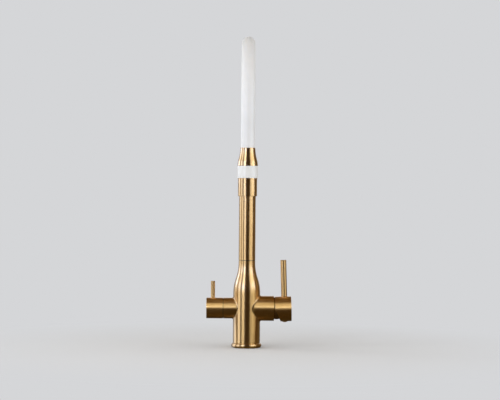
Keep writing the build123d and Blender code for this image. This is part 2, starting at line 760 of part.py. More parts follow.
riser_joint_z = column_top_z - coupler_below_top
with BuildPart() as filter_riser_tube:
    tube(deck, filtered_hose_r, filtered_bore_r, riser_tube_z, riser_joint_z)

with BuildPart() as riser_coupler:
    half = coupler_length / 2
    coupler_r = filtered_hose_r + slip + coupler_wall
    tube(deck, coupler_r, filtered_hose_r + slip, riser_joint_z - half, riser_joint_z + half)

# ---------------------------------------------------------------- ferrule and hoses

hose_bore_r = hose_r - hose_wall
mixed_hose_r = hose_bore_r - hose_gap
mixed_bore_r = mixed_hose_r - mixed_hose_wall
hose_socket_r = hose_r + hose_fit
hose_nipple_r = hose_bore_r - hose_fit
mixed_socket_r = mixed_hose_r + hose_fit
hose_rim_r = hose_r + hose_rim
ferrule_top_z = column_top_z + ferrule_height
hose_start_z = ferrule_top_z - hose_seat
mixed_start_z = hose_start_z - mixed_hose_seat
spigot_bottom_z = column_top_z - ferrule_spigot
connector_r = mixed_socket_r + connector_wall

with BuildPart() as column_ferrule:
    with BuildSketch(Plane.XZ):
        with BuildLine():
            Polyline(
                (0, column_top_z),
                (column_r, column_top_z),
                (hose_rim_r, ferrule_top_z),
                (0, ferrule_top_z),
                close=True,
            )
        make_face()
    revolve(axis=Axis.Z)
    tube(deck, column_bore_r - slip, 0, spigot_bottom_z, column_top_z)
    bore(deck, connector_r + slip, spigot_bottom_z, hose_start_z)
    bore(deck, hose_socket_r, hose_start_z, ferrule_top_z)

with BuildPart() as hose_connector:
    connector_top_z = hose_start_z + hose_nipple_length
    tube(deck, connector_r, 0, spigot_bottom_z, hose_start_z)
    tube(deck, hose_nipple_r, 0, hose_start_z, connector_top_z)
    bore(deck, mixed_bore_r, spigot_bottom_z, connector_top_z)
    bore(deck, mixed_socket_r, mixed_start_z, connector_top_z)

# ---------------------------------------------------------------- spray head

dock_bore_r = barrel_r + clear
cone_bottom_z = ring_top_z + clear
cone_top_z = cone_bottom_z + cone_height
cone_lip_r = dock_bore_r + cone_lip_overlap
barrel_bottom_z = ring_bottom_z - barrel_below_ring
barrel_bore_r = barrel_r - barrel_wall
head_hose_z = cone_top_z - head_hose_seat
head_mixed_z = head_hose_z - mixed_hose_seat
tail_bottom_z = cone_bottom_z - cone_spigot
tail_r = hose_r - hose_ledge
core_r = barrel_bore_r - slip
core_top_z = tail_bottom_z - gasket_thickness
core_bottom_z = core_top_z - core_length
plate_bottom_z = barrel_bottom_z + plate_recess
plate_top_z = plate_bottom_z + plate_thickness

with BuildPart() as spray_cone:
    with BuildSketch(head_profile):
        with BuildLine():
            under = Line((0, cone_bottom_z), (cone_lip_r, cone_bottom_z))
            crease = (cone_lip_r - cone_lip_draft, cone_bottom_z + cone_lip_height)
            lip = Line(under @ 1, crease)
            flare = SagittaArc(lip @ 1, (hose_rim_r, cone_top_z), cone_flare_sag)
            rim = Line(flare @ 1, (0, cone_top_z))
            Line(rim @ 1, under @ 0)
        make_face()
    revolve(axis=head_axis)
    tube(head_plane, core_r, 0, tail_bottom_z, cone_bottom_z)
    bore(head_plane, tail_r + slip, tail_bottom_z, head_hose_z)
    bore(head_plane, hose_socket_r, head_hose_z, cone_top_z)

with BuildPart() as spray_barrel:
    tube(head_plane, barrel_r, barrel_bore_r, barrel_bottom_z, cone_bottom_z)
    tube(head_plane, barrel_r, barrel_bore_r - barrel_lip_r_step, barrel_bottom_z, plate_bottom_z)
    outer_rim = spray_barrel.edges().group_by(Axis.Z)[0].sort_by(SortBy.RADIUS)[-1]
    chamfer(outer_rim, length=barrel_edge)

with BuildPart() as head_hose_tail:
    tail_top_z = head_hose_z + hose_nipple_length
    tube(head_plane, tail_r, 0, tail_bottom_z, head_hose_z)
    tube(head_plane, hose_nipple_r, 0, head_hose_z, tail_top_z)
    bore(head_plane, mixed_bore_r, tail_bottom_z, tail_top_z)
    bore(head_plane, mixed_socket_r, head_mixed_z, tail_top_z)

with BuildPart() as head_gasket:
    tube(head_plane, tail_r, core_funnel_r, core_top_z, tail_bottom_z)

filtered_end_z = core_top_z - filtered_socket
head_oring_z = core_top_z - head_oring_depth
head_oring_line_r = core_r - head_oring_wire_r
with BuildPart() as head_core:
    tube(head_plane, core_r, 0, core_bottom_z, core_top_z)
    # a skirt below clamps the nozzle plate on the barrel's inner lip
    tube(head_plane, core_r, core_r - core_skirt_wall, plate_top_z, core_bottom_z)
    # stepped centre passage: filtered hose above, centre nozzle below
    bore(head_plane, filtered_hose_r + slip, filtered_end_z, core_top_z)
    bore(head_plane, filtered_bore_r, core_bottom_z, filtered_end_z)
    nozzle_top_z = plate_bottom_z + filter_nozzle_length
    bore(head_plane, filter_nozzle_r + slip, core_bottom_z, nozzle_top_z)
    # funnel ring on top, and the mixed water passages below it
    funnel_floor_z = core_top_z - core_funnel_depth
    stub_r = filtered_hose_r + slip + coupler_wall
    tube(head_plane, core_funnel_r, stub_r, funnel_floor_z, core_top_z, mode=Mode.SUBTRACT)
    with BuildSketch(head_plane.offset(core_bottom_z)):
        with PolarLocations(core_passage_circle_r, core_passage_count):
            Circle(core_passage_r)
    extrude(amount=core_length, mode=Mode.SUBTRACT)
    half = head_oring_wire_r + slip
    floor_r = head_oring_line_r - half
    tube(head_plane, core_r, floor_r, head_oring_z - half, head_oring_z + half, mode=Mode.SUBTRACT)

with BuildPart() as head_oring:
    ring_seal(head_plane, head_oring_line_r, head_oring_wire_r, head_oring_z)

with BuildPart() as nozzle_plate:
    tube(head_plane, core_r, filter_nozzle_r + slip, plate_bottom_z, plate_top_z)
    with BuildSketch(head_plane.offset(plate_bottom_z)):
        with PolarLocations(outer_nozzle_circle_r, outer_nozzle_count):
            Circle(nozzle_hole_r)
        with PolarLocations(inner_nozzle_circle_r, inner_nozzle_count):
            Circle(nozzle_hole_r)
    extrude(amount=plate_thickness, mode=Mode.SUBTRACT)

with BuildPart() as filter_nozzle:
    tube(head_plane, filter_nozzle_r, filter_nozzle_bore_r, plate_bottom_z, nozzle_top_z)

# ---------------------------------------------------------------- hoses over the arch


def arch_tube(outer, inner, column_end_z, head_end_z):
    """A hose up from the column, over the half circle of the arch and down to the head."""
    tube(deck, outer, inner, column_end_z, arch_centre_z)
    with BuildSketch(deck.offset(arch_centre_z)) as section:
        Circle(outer)
        Circle(inner, mode=Mode.SUBTRACT)
    arch_axis = Axis((0, -reach / 2, arch_centre_z), (1, 0, 0))
    revolve(section.sketch, axis=arch_axis, revolution_arc=180)
    tube(head_plane, outer, inner, head_end_z, arch_centre_z)


with BuildPart() as silicone_hose:
    arch_tube(hose_r, hose_bore_r, hose_start_z, head_hose_z + clear)

with BuildPart() as mixed_water_hose:
    arch_tube(mixed_hose_r, mixed_bore_r, mixed_start_z, head_mixed_z + clear)

with BuildPart() as filtered_hose:
    arch_tube(filtered_hose_r, filtered_bore_r, riser_joint_z, filtered_end_z + clear)

# ---------------------------------------------------------------- dock ring and arm

arm_plane = Plane(origin=(0, 0, arm_z), x_dir=(1, 0, 0), z_dir=(0, -1, 0))
back_plane = Plane(origin=(0, 0, arm_z), x_dir=(1, 0, 0), z_dir=(0, 1, 0))
ring_r = dock_bore_r + ring_wall
ring_boss_end = reach - ring_r - ring_boss_length
collar_r = column_r + slip + collar_wall
collar_bottom_z = arm_z - collar_height / 2
collar_top_z = arm_z + collar_height / 2
collar_boss_end = collar_r + collar_boss_length

with BuildPart() as dock_collar:
    tube(deck, collar_r, 0, collar_bottom_z, collar_top_z)
    tube(arm_plane, collar_boss_r, 0, 0, collar_boss_end)
    bore(deck, column_r + slip, collar_bottom_z, collar_top_z)
    bore(arm_plane, arm_r + slip, collar_boss_end - arm_engagement, collar_boss_end)
    bore(back_plane, collar_screw_r + slip, 0, 2 * collar_r)

with BuildPart() as dock_collar_screw:
    tube(back_plane, collar_screw_r, 0, column_r + slip, collar_r - clear)

with BuildPart() as dock_arm:
    tube(arm_plane, arm_r, 0, collar_boss_end - arm_engagement, ring_boss_end + arm_engagement)

with BuildPart() as dock_ring:
    tube(head_plane, ring_r, 0, ring_bottom_z, ring_top_z)
    tube(arm_plane, ring_boss_r, 0, ring_boss_end, reach)
    bore(head_plane, dock_bore_r, ring_bottom_z, ring_top_z)
    bore(arm_plane, arm_r + slip, ring_boss_end, ring_boss_end + arm_engagement)

# ---------------------------------------------------------------- files

pieces = {
    "tap_body": tap_body,
    "base_ring": base_ring,
    "base_seal": base_seal,
    "threaded_shank": threaded_shank,
    "swivel_washer": swivel_washer,
    "swivel_lock_screw": swivel_lock_screw,
    "filter_nipple": filter_nipple,
    "mixer_port_seals": mixer_port_seals,
    "mixer_cartridge_base": mixer_cartridge_base,
    "mixer_fixed_disc": mixer_fixed_disc,
    "mixer_cartridge_housing": mixer_cartridge_housing,
    "mixer_cartridge_nut": mixer_cartridge_nut,
    "mixer_dome_cover": mixer_dome_cover,
    "mixer_moving_disc": mixer_moving_disc,
    "mixer_disc_carrier": mixer_disc_carrier,
    "mixer_turret": mixer_turret,
    "mixer_pivot_pin": mixer_pivot_pin,
    "mixer_spindle": mixer_spindle,
    "mixer_cap": mixer_cap,
    "mixer_lever": mixer_lever,
    "mixer_cap_screw": mixer_cap_screw,
    "mixer_cap_plug": mixer_cap_plug,
    "filter_seat_seal": filter_seat_seal,
    "filter_fixed_disc": filter_fixed_disc,
    "filter_headwork": filter_headwork,
    "filter_joint_ring": filter_joint_ring,
    "filter_moving_disc": filter_moving_disc,
    "filter_spindle": filter_spindle,
    "filter_spindle_orings": filter_spindle_orings,
    "filter_cap": filter_cap,
    "filter_lever": filter_lever,
    "filter_cap_screw": filter_cap_screw,
    "spout_column": spout_column,
    "swivel_insert": swivel_insert,
    "swivel_orings": swivel_orings,
    "riser_bush": riser_bush,
    "riser_oring": riser_oring,
    "filter_riser_tube": filter_riser_tube,
    "riser_coupler": riser_coupler,
    "column_ferrule": column_ferrule,
    "hose_connector": hose_connector,
    "silicone_hose": silicone_hose,
    "mixed_water_hose": mixed_water_hose,
    "filtered_hose": filtered_hose,
    "dock_collar": dock_collar,
    "dock_collar_screw": dock_collar_screw,
    "dock_arm": dock_arm,
    "dock_ring": dock_ring,
    "spray_cone": spray_cone,
    "spray_barrel": spray_barrel,
    "head_hose_tail": head_hose_tail,
    "head_gasket": head_gasket,
    "head_core": head_core,
    "head_oring": head_oring,
    "nozzle_plate": nozzle_plate,
    "filter_nozzle": filter_nozzle,
}

os.makedirs("parts", exist_ok=True)
for name, piece in pieces.items():
    piece.part.label = name
    export_step(piece.part, f"parts/{name}.step")
print(f"{len(pieces)} pieces written")
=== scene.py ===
# %% [markdown]
# # A three way filtered water tap
#
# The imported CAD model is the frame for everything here. It gives the tap's bodies, such as
# the turning spout and the two handles, and one node for each separate piece. Most pieces of
# a tap are turned or bored metal, and the CAD solids already have the right shape, so they
# stay and get a proper finish. The flexible hoses, the thread and the soft spray nozzles are
# made here. All sizes are in metres: the deck's top face is at z = 0 and the spout reaches
# out along -Y, towards the camera.

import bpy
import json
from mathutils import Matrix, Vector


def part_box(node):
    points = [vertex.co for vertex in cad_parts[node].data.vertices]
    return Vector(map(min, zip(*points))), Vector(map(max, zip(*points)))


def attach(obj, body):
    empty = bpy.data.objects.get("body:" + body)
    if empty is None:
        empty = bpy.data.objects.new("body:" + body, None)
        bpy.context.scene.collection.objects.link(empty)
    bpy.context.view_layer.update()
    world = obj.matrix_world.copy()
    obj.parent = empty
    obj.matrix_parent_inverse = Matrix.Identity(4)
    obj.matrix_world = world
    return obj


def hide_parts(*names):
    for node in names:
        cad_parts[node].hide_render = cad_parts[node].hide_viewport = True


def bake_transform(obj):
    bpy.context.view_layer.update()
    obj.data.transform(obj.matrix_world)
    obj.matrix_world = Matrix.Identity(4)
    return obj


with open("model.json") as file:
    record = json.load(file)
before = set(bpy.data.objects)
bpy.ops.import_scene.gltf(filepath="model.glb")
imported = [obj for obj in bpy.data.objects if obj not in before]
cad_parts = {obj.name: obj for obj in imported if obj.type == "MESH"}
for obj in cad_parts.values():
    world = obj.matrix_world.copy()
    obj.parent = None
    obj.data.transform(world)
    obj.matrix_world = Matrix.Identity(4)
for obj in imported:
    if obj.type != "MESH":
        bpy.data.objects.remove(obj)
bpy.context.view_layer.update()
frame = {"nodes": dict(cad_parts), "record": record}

# %% Libraries and the view transform
import json
from math import cos, pi, radians, sin, tan

import bpy
from mathutils import Matrix, Vector

scene = bpy.context.scene
scene.view_settings.view_transform = "Standard"

# %% [markdown]
# ## The camera
#
# The photograph is taken from straight in front with a long lens, level, at about half the
# tap's height. A level camera keeps upright things upright, which a tilted one wouldn't. The
# lens follows from how much larger the spray head looks than the column behind it.

# %% Camera
camera_height = 0.2483
camera_distance = 2.782
camera_lens = 118.8
camera_roll, camera_turn = -0.45, -0.088  # degrees

camera_data = bpy.data.cameras.new("front_camera")
camera_data.lens = camera_lens
camera_data.sensor_width = 36.0
camera_data.clip_end = 50.0
camera = bpy.data.objects.new("front_camera", camera_data)
camera.location = (0.0, -camera_distance, camera_height)
camera.rotation_euler = (radians(90), radians(camera_roll), radians(camera_turn))
scene.collection.objects.link(camera)
scene.camera = camera
print("camera", [round(c, 3) for c in camera.location], "lens", camera_data.lens)

# %% [markdown]
# ## The studio
#
# Polished metal shows its surroundings far more than its own colour. A vertical cylinder
# seen from the front reflects the room in strips: its middle shows what is behind the
# camera, and half way to its edge it shows what is at 60 degrees to the side. So each bright
# or dark band on the brass belongs to one thing in the studio: softboxes give the bright
# bands and dark cards the dark ones. Angles here are seen from the tap, with 0 towards the
# camera and plus towards the right.

# %% Background
backdrop_colour = (0.665, 0.672, 0.687, 1.0)
daylight_colour = (1.05, 1.0, 0.93, 1.0)
daylight_strength = 0.42

world = bpy.data.worlds.new("pale_studio")
scene.world = world
world.use_nodes = True
nodes, links = world.node_tree.nodes, world.node_tree.links
nodes.clear()
output = nodes.new("ShaderNodeOutputWorld")
lighting = nodes.new("ShaderNodeBackground")
lighting.inputs["Color"].default_value = daylight_colour
lighting.inputs["Strength"].default_value = daylight_strength
seen = nodes.new("ShaderNodeBackground")
seen.inputs["Color"].default_value = backdrop_colour
path = nodes.new("ShaderNodeLightPath")
camera_or_glossy = nodes.new("ShaderNodeMath")
camera_or_glossy.operation = "MAXIMUM"
any_direct = nodes.new("ShaderNodeMath")
any_direct.operation = "MAXIMUM"
mix = nodes.new("ShaderNodeMixShader")
links.new(path.outputs["Is Camera Ray"], camera_or_glossy.inputs[0])
links.new(path.outputs["Is Glossy Ray"], camera_or_glossy.inputs[1])
links.new(camera_or_glossy.outputs[0], any_direct.inputs[0])
links.new(path.outputs["Is Transmission Ray"], any_direct.inputs[1])
links.new(any_direct.outputs[0], mix.inputs["Fac"])
links.new(lighting.outputs[0], mix.inputs[1])
links.new(seen.outputs[0], mix.inputs[2])
links.new(mix.outputs[0], output.inputs["Surface"])
print("background", backdrop_colour[:3])

# %% [markdown]
# A real softbox lights matt surfaces and also shows as a bright strip in polished ones. The
# strip is brightest in its low part here, which gives the handles the thin bright line inside
# their wider highlight, while the white hose only feels the total. So each softbox is made
# twice: one lamp that lights the matt surfaces, and three lamps, one over another, that only
# reflections see. Most matt light comes from the left, where the window is. One more lamp, at
# the right and further back, lights only matt surfaces and keeps the hose's right edge pale.

# %% Softboxes
studio_centre = Vector((0.0, 0.0, 0.25))
window_tint = Vector((0.94, 1.04, 1.30))
room_tint = Vector((0.97, 1.00, 0.98))
plain = Vector((1.0, 1.0, 1.0))
matt_elevations, matt_distance = (0, 48), 2.0


def panel(azimuths, elevations, distance):
    """The place and size of a flat panel that fills these angles as seen from the tap."""
    azimuth, elevation = sum(azimuths) / 2, sum(elevations) / 2
    a, e = radians(azimuth), radians(elevation)
    away = Vector((sin(a) * cos(e), -cos(a) * cos(e), sin(e)))
    turn = away.to_track_quat("Z", "Y").to_matrix().to_4x4()
    place = Matrix.Translation(studio_centre + away * distance) @ turn
    width = 2 * distance * cos(e) * tan(radians(azimuths[1] - azimuths[0]) / 2)
    height = 2 * distance * tan(radians(elevations[1] - elevations[0]) / 2)
    return place, width, height


def softbox(name, azimuths, elevations, distance, brightness, colour, lights_matt):
    """A lamp of this brightness that lights either the matt surfaces or the reflections."""
    place, width, height = panel(azimuths, elevations, distance)
    lamp = bpy.data.lights.new(name, "AREA")
    lamp.shape = "RECTANGLE"
    lamp.size, lamp.size_y = width, height
    lamp.energy = brightness * pi * width * height
    lamp.color = colour
    box = bpy.data.objects.new(name, lamp)
    box.matrix_world = place
    box.visible_camera = False
    box.visible_diffuse = lights_matt
    box.visible_glossy = not lights_matt
    scene.collection.objects.link(box)
    return box


# Azimuths, distance, brightness and tint in a reflection, and brightness on matt surfaces.
boxes_round_the_tap = {
    "front_left": ((-43, -20), 2.0, 1.50, window_tint, 2.40),
    "left": ((-80, -58), 2.0, 0.95, window_tint, 1.60),
    "far_left": ((-125, -98), 2.0, 0.95, window_tint, 1.50),
    "right_edge": ((28, 44), 1.3, 0.62, room_tint, 0.80),
    "right": ((44, 80), 1.3, 1.02, room_tint, 0.90),
}
# Elevations, share of the brightness and shift of the tint.
tiers = {
    "low": ((2.5, 15), 3.4, Vector((0.95, 1.05, 1.22))),
    "middle": ((15, 38), 1.25, Vector((1.0, 1.0, 0.95))),
    "high": ((38, 45), 1.0, Vector((1.0, 1.0, 0.95))),
}
for side, (azimuths, distance, brightness, tint, on_matt) in boxes_round_the_tap.items():
    for tier, (elevations, share, shift) in tiers.items():
        name = f"reflected_{side}_{tier}"
        softbox(name, azimuths, elevations, distance, brightness * share, tint * shift, False)
    softbox(f"softbox_{side}", azimuths, matt_elevations, matt_distance, on_matt, plain, True)
softbox("softbox_right_back", (80, 125), matt_elevations, matt_distance, 0.70, plain, True)
print(len(boxes_round_the_tap), "softboxes, each with", len(tiers), "reflected tiers")

# %% [markdown]
# The room between the softboxes is dark. A card stands for each dark part of it. Its paint
# glows faintly in one shade, so that its reflection has exactly that shade, and only
# reflections see it. The standing cards fill the gaps between the softboxes, the near cards
# are low and close, where mostly the foot of the body mirrors them, and one level card each
# stands for the ceiling and for what lies below. The gap at the far left is paler than the
# others on the column and darker on the body, so it has a standing card and a near one.


# %% Cards that only reflections see
def card_paint(name, shade):
    """A card's paint, which gives this exact shade in a reflection."""
    material = bpy.data.materials.new(name)
    material.use_nodes = True
    nodes, links = material.node_tree.nodes, material.node_tree.links
    nodes.clear()
    output = nodes.new("ShaderNodeOutputMaterial")
    glow = nodes.new("ShaderNodeEmission")
    glow.inputs["Color"].default_value = (*shade, 1.0)
    links.new(glow.outputs[0], output.inputs["Surface"])
    return material


def card(name, corners, paint):
    """A card that shows only in reflections: it neither lights the tap nor hides it."""
    mesh = bpy.data.meshes.new(name)
    mesh.from_pydata(corners, [], [tuple(range(len(corners)))])
    mesh.materials.append(paint)
    board = bpy.data.objects.new(name, mesh)
    board.visible_camera = False
    board.visible_diffuse = False
    board.visible_shadow = False
    board.visible_transmission = False
    scene.collection.objects.link(board)
    return board


def near_card(name, azimuths, heights, paint):
    """An upright card close to the tap, which mostly the low part of the body shows."""
    a, b = [near * Vector((sin(radians(t)), -cos(radians(t)), 0)) for t in azimuths]
    low, high = [Vector((0, 0, z)) for z in heights]
    return card(name, [a + low, b + low, b + high, a + high], paint)


def standing_card(name, azimuths, elevations, distance, paint):
    """A card that fills these angles as seen from the tap."""
    place, width, height = panel(azimuths, elevations, distance)
    x, y = width / 2, height / 2
    corners = [(-x, -y, 0), (x, -y, 0), (x, y, 0), (-x, y, 0)]
    return card(name, [place @ Vector(corner) for corner in corners], paint)


def level_card(name, x, front, back, z, paint):
    """A level card that reaches x to either side, from front to back along Y."""
    return card(name, [(-x, front, z), (x, front, z), (x, back, z), (-x, back, z)], paint)


near = 0.45
gap_elevations = (-30, 60)
foot_heights, body_heights = (-0.25, 0.03), (-0.25, 0.12)
black_card = card_paint("black_card", (0.048, 0.032, 0.011))
brown_card = card_paint("brown_card", (0.110, 0.062, 0.014))
low_light = card_paint("low_light", (1.05, 1.17, 1.42))
grey_card = card_paint("grey_card", (0.17, 0.125, 0.065))
tan_card = card_paint("tan_card", (0.46, 0.39, 0.26))
pale_card = card_paint("pale_card", (0.38, 0.38, 0.38))
cards = [
    standing_card("card_behind_camera", (-19, 29), (-48, 62), 3.3, black_card),
    standing_card("card_left_gap", (-58, -43), gap_elevations, 1.9, black_card),
    standing_card("card_far_left_gap", (-99, -79), gap_elevations, 2.1, tan_card),
    standing_card("card_left_back", (-160, -123), gap_elevations, 2.4, pale_card),
    standing_card("card_right_back", (80, 152), gap_elevations, 2.4, grey_card),
    near_card("card_left_low", (-79, -55), foot_heights, low_light),
    near_card("card_far_left_low", (-136, -99), foot_heights, low_light),
    near_card("card_far_left_gap_low", (-98, -80), body_heights, grey_card),
    near_card("card_right_low", (58, 100), body_heights, brown_card),
    level_card("card_overhead", 2.5, -0.84, 2.4, 1.6, brown_card),
    level_card("card_below", 6, -6, 6, -0.3, black_card),
]
print(len(cards), "cards round the tap")

# %% [markdown]
# ## The floor
#
# The floor is a pale disc that fades into the background's own colour further out, so that
# no horizon line runs behind the tap. The fade is a mix between a real diffuse surface, which
# keeps the tap's soft shadow, and a surface that simply glows in the backdrop's colour.

# %% Floor
floor_radius, floor_z, floor_corners = 12.0, -0.0004, 96
floor_colour = (0.80, 0.815, 0.84, 1.0)
fade_start, fade_end = 0.12, 0.60

angles = [2 * pi * i / floor_corners for i in range(floor_corners)]
rim = [(floor_radius * cos(a), floor_radius * sin(a), floor_z) for a in angles]
floor_mesh = bpy.data.meshes.new("floor")
floor_mesh.from_pydata(rim, [], [tuple(range(floor_corners))])
floor = bpy.data.objects.new("floor", floor_mesh)
scene.collection.objects.link(floor)
floor_paint = bpy.data.materials.new("pale_floor")
floor_paint.use_nodes = True
nodes, links = floor_paint.node_tree.nodes, floor_paint.node_tree.links
nodes.clear()
output = nodes.new("ShaderNodeOutputMaterial")
matt = nodes.new("ShaderNodeBsdfDiffuse")
matt.inputs["Color"].default_value = floor_colour
glow = nodes.new("ShaderNodeEmission")
glow.inputs["Color"].default_value = backdrop_colour
place = nodes.new("ShaderNodeTexCoord")
distance = nodes.new("ShaderNodeVectorMath")
distance.operation = "LENGTH"
fade = nodes.new("ShaderNodeMapRange")
fade.interpolation_type = "SMOOTHSTEP"
fade.inputs["From Min"].default_value = fade_start
fade.inputs["From Max"].default_value = fade_end
mix = nodes.new("ShaderNodeMixShader")
links.new(place.outputs["Object"], distance.inputs[0])
links.new(distance.outputs["Value"], fade.inputs["Value"])
links.new(fade.outputs["Result"], mix.inputs["Fac"])
links.new(matt.outputs[0], mix.inputs[1])
links.new(glow.outputs[0], mix.inputs[2])
links.new(mix.outputs[0], output.inputs["Surface"])
floor_mesh.materials.append(floor_paint)
floor.visible_glossy = False
print("floor fades from", fade_start, "to", fade_end, "m")

# %% [markdown]
# ## The finishes
#
# A finish has three parts: a colour, how rough it is, and a fine relief. Each is driven by
# noise in object coordinates, so the grain has its real size in metres and goes right
# through the piece, as it does on a real casting.


# %% A first finish
def finish(name, roughness, metallic=0.0):
    """A material with a Principled shader, ready for its grain."""
    material = bpy.data.materials.new(name)
    material.use_nodes = True
    shader = material.node_tree.nodes["Principled BSDF"]
    shader.inputs["Roughness"].default_value = roughness
    shader.inputs["Metallic"].default_value = metallic
    return material, shader


def grain(material, scale, detail=3.0):
    """Noise in object coordinates, with this many grains per metre along X, Y and Z."""
    nodes, links = material.node_tree.nodes, material.node_tree.links
    place = nodes.new("ShaderNodeTexCoord")
    stretch = nodes.new("ShaderNodeMapping")
    stretch.inputs["Scale"].default_value = scale
    noise = nodes.new("ShaderNodeTexNoise")
    noise.inputs["Scale"].default_value = 1.0
    noise.inputs["Detail"].default_value = detail
    links.new(place.outputs["Object"], stretch.inputs["Vector"])
    links.new(stretch.outputs["Vector"], noise.inputs["Vector"])
    return noise


def vary_roughness(material, shader, noise, low, high):
    """Roughness swings between two values with the noise."""
    nodes, links = material.node_tree.nodes, material.node_tree.links
    swing = nodes.new("ShaderNodeMapRange")
    swing.inputs["From Min"].default_value = 0.3
    swing.inputs["From Max"].default_value = 0.7
    swing.inputs["To Min"].default_value = low
    swing.inputs["To Max"].default_value = high
    links.new(noise.outputs["Fac"], swing.inputs["Value"])
    links.new(swing.outputs["Result"], shader.inputs["Roughness"])


def vary_colour(material, shader, noise, first, second):
    """Colour drifts between two close tones with the noise."""
    nodes, links = material.node_tree.nodes, material.node_tree.links
    tones = nodes.new("ShaderNodeValToRGB")
    tones.color_ramp.elements[0].position = 0.35
    tones.color_ramp.elements[0].color = (*first, 1.0)
    tones.color_ramp.elements[1].position = 0.65
    tones.color_ramp.elements[1].color = (*second, 1.0)
    links.new(noise.outputs["Fac"], tones.inputs["Fac"])
    links.new(tones.outputs["Color"], shader.inputs["Base Color"])


def relief(material, shader, noise, depth, strength=1.0):
    """The noise as a fine relief of a real depth in metres."""
    nodes, links = material.node_tree.nodes, material.node_tree.links
    bump = nodes.new("ShaderNodeBump")
    bump.inputs["Distance"].default_value = depth
    bump.inputs["Strength"].default_value = strength
    links.new(noise.outputs["Fac"], bump.inputs["Height"])
    links.new(bump.outputs["Normal"], shader.inputs["Normal"])


# %% [markdown]
# Satin brass is turned against a fine abrasive, so its lines run round the piece, and then
# lacquered. The noise is stretched to match: many grains along the axis that the piece was
# turned on and few across it. The lines also spread a reflection along that axis, for which
# the shader is anisotropic, with the axis as its tangent. A face that meets the axis squarely,
# such as the end of the spray barrel, has no such direction, so the spread fades out there.
# The lacquer is the shader's coat.
# The body and the column were turned on Z, the handles on X and the dock arm on Y. The handles get
# lighter tones than the rest, a painted highlight that brightens their reflections. The dome under
# the mixer's cap gets much darker tones on a rougher finish, a painted shade that keeps the slit in
# front of it dark.


# %% Satin brass
brass_tones = (0.715, 0.422, 0.138), (0.755, 0.452, 0.158)
# The handles' tones are the same brass made paler, a painted highlight that brightens their
# reflection.
handle_painted_highlight_tones = (0.820, 0.485, 0.160), (0.865, 0.520, 0.183)
fine_lines, coarse_lines = 3000.0, 45.0
tone_grains = (22.0, 22.0, 22.0)
spread_on_sides = 0.97
side_limit, end_limit = 0.90, 0.98  # cosine of the angle between a face's normal and the axis
axes = {"X": (1.0, 0.0, 0.0), "Y": (0.0, 1.0, 0.0), "Z": (0.0, 0.0, 1.0)}


def across(axis):
    """Grains per metre of lines that run round an axis."""
    return [coarse_lines + fine_lines * share for share in axes[axis]]


def turned_on(material, shader, axis):
    """Lines run round this axis, so a reflection spreads along it, except on end faces."""
    nodes, links = material.node_tree.nodes, material.node_tree.links
    direction = nodes.new("ShaderNodeVectorTransform")
    direction.vector_type = "VECTOR"
    direction.convert_from, direction.convert_to = "OBJECT", "WORLD"
    direction.inputs["Vector"].default_value = axes[axis]
    surface = nodes.new("ShaderNodeNewGeometry")
    facing = nodes.new("ShaderNodeVectorMath")
    facing.operation = "DOT_PRODUCT"
    either_end = nodes.new("ShaderNodeMath")
    either_end.operation = "ABSOLUTE"
    spread = nodes.new("ShaderNodeMapRange")
    spread.inputs["From Min"].default_value = side_limit
    spread.inputs["From Max"].default_value = end_limit
    spread.inputs["To Min"].default_value = spread_on_sides
    spread.inputs["To Max"].default_value = 0.0
    links.new(direction.outputs["Vector"], shader.inputs["Tangent"])
    links.new(direction.outputs["Vector"], facing.inputs[0])
    links.new(surface.outputs["Normal"], facing.inputs[1])
    links.new(facing.outputs["Value"], either_end.inputs[0])
    links.new(either_end.outputs["Value"], spread.inputs["Value"])
    links.new(spread.outputs["Result"], shader.inputs["Anisotropic"])
    return direction


def satin_brass(name, axis, roughness=0.32, tones=brass_tones):
    """Lacquered brass with its polishing lines round the X, Y or Z axis."""
    material, shader = finish(name, roughness, metallic=1.0)
    shader.inputs["Coat Weight"].default_value = 1.0
    shader.inputs["Coat IOR"].default_value = 1.75
    shader.inputs["Coat Roughness"].default_value = 0.22
    direction = turned_on(material, shader, axis)
    polish = grain(material, across(axis), detail=4.0)
    vary_roughness(material, shader, polish, roughness - 0.03, roughness + 0.03)
    relief(material, shader, polish, 0.000003, 0.3)
    tone = grain(material, tone_grains, detail=2.0)
    vary_colour(material, shader, tone, *tones)
    return material, polish, direction


# The dome's tones are far darker than the other brass. This is painted shade for the narrow slit in
# front of it, on a rougher finish.
dull_brass, shader = finish("dull_brass", 0.50, metallic=1.0)
tone = grain(dull_brass, tone_grains, detail=2.0)
vary_colour(dull_brass, shader, tone, (0.33, 0.190, 0.058), (0.37, 0.215, 0.067))
vary_roughness(dull_brass, shader, tone, 0.46, 0.54)

brass_upright = satin_brass("satin_brass_upright", "Z")[0]
brass_sideways = satin_brass("satin_brass_sideways", "X", roughness=0.36, tones=handle_painted_highlight_tones)[0]
brass_forward = satin_brass("satin_brass_forward", "Y")[0]
print("satin brass in three directions")

# %% [markdown]
# The tap's body is one casting that was polished in two directions: round Z on the body and round X
# on its two branches. The same finish is used. Its grain and the direction of its lines change
# where the distance from the body's axis passes the body's radius. There its tone also changes to
# the handles' lighter one, a painted highlight.

# %% Satin brass of the body
body_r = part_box("tap_body")[1][1]
change_start, change_end = 0.0002, 0.0022
brass_body, polish, direction = satin_brass("satin_brass_body", "Z")
nodes, links = brass_body.node_tree.nodes, brass_body.node_tree.links
place = nodes.new("ShaderNodeTexCoord")
flat = nodes.new("ShaderNodeVectorMath")
flat.operation = "MULTIPLY"
flat.inputs[1].default_value = (1.0, 1.0, 0.0)
off_axis = nodes.new("ShaderNodeVectorMath")
off_axis.operation = "LENGTH"
on_branch = nodes.new("ShaderNodeMapRange")
on_branch.interpolation_type = "SMOOTHSTEP"
on_branch.inputs["From Min"].default_value = body_r + change_start
on_branch.inputs["From Max"].default_value = body_r + change_end
links.new(place.outputs["Object"], flat.inputs[0])
links.new(flat.outputs["Vector"], off_axis.inputs[0])
links.new(off_axis.outputs["Value"], on_branch.inputs["Value"])


